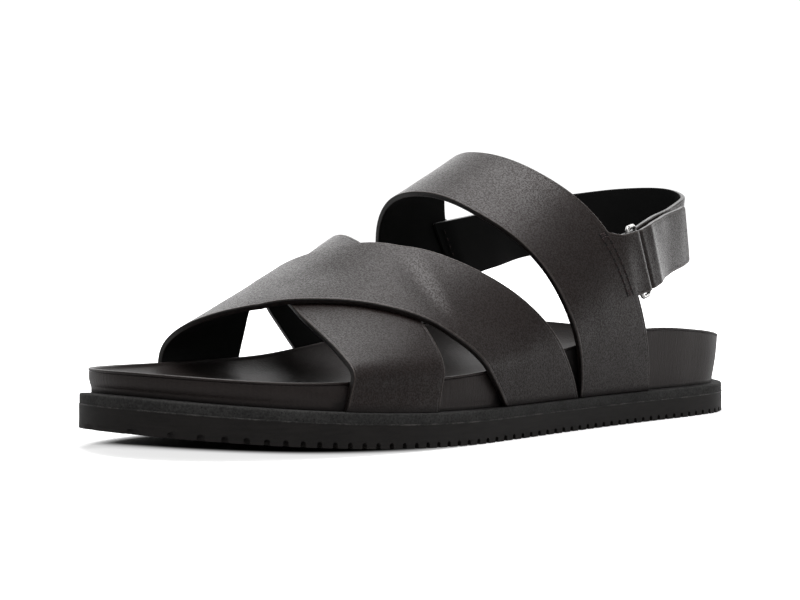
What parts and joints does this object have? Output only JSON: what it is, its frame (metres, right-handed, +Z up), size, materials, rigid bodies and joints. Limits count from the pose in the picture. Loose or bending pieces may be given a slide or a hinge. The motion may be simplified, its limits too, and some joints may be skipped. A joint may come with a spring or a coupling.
{
  "type": "fisherman sandal",
  "caption": "Left open-toe sandal: ripple sole, wrapped footbed, crossed forefoot straps, instep strap and a heel strap folded back through a metal ring.",
  "frame": {"origin": "on the floor, under the middle of the sole's bounding box", "axes": "+Y runs from the toe to the heel, +X to the outer side of the foot, +Z up"},
  "size_m": [0.1003, 0.29, 0.0987],
  "materials": {
    "outsole_rubber": "matte black-brown rubber",
    "midsole_rubber": "rough charcoal rubber",
    "footbed_leather": "satin dark brown leather",
    "strap_leather": "satin dark brown leather, black lining",
    "nickel_wire": "polished nickel wire",
    "fastener_nylon": "black hook-and-loop tape"
  },
  "bodies": {
    "root": {"outsole": "outsole_rubber", "midsole": "midsole_rubber", "footbed": "footbed_leather", "cross_straps": "strap_leather", "instep_strap": "strap_leather", "heel_strap": "strap_leather", "ring": "nickel_wire", "loop_pad": "fastener_nylon", "hook_pad": "fastener_nylon"}
  },
  "joints": []
}
